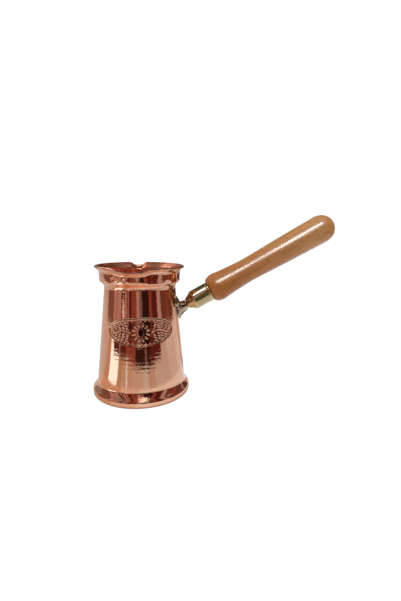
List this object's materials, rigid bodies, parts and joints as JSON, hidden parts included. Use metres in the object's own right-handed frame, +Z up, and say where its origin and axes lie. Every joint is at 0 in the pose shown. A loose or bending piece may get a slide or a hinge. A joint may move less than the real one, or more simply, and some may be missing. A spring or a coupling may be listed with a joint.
{
  "type": "turkish coffee pot",
  "caption": "Spun copper coffee pot with a flared foot, a collared pouring lip and a rising turned wooden handle that screws onto a riveted brass bracket.",
  "frame": {"origin": "centre of the flat underside, on the axis of the pot", "axes": "+Z up along the pot's axis; +X towards the handle; the two spouts face nearly -Y and +Y"},
  "size_m": [0.17, 0.0668, 0.1228],
  "materials": {
    "copper": null,
    "cast_brass": "polished pale cast brass",
    "turned_brass": "turned and polished brass",
    "steel": "zinc plated",
    "beech": "clear varnished beech"
  },
  "bodies": {
    "pot": {"pot_body": "copper", "handle_bracket": "cast_brass", "rivet_front": "cast_brass", "rivet_rear": "cast_brass", "threaded_stud": "steel"},
    "ferrule": {"ferrule": "turned_brass"},
    "handle": {"wooden_grip": "beech", "threaded_insert": "turned_brass"}
  },
  "joints": [
    {"name": "ferrule_slide", "type": "slide", "parent": "pot", "child": "ferrule", "axis": [0.8746, 0, 0.4848], "range_m": [0, 0.0084]},
    {"name": "handle_turn", "type": "hinge", "parent": "ferrule", "child": "handle", "pos_m": [0, 0, 0.0428], "axis": [0.8746, 0, 0.4848], "range_deg": [0, 4320]}
  ],
  "couplings": [
    {"joint": "ferrule_slide", "follows": "handle_turn", "m_per_rad": 0.00011141}
  ]
}
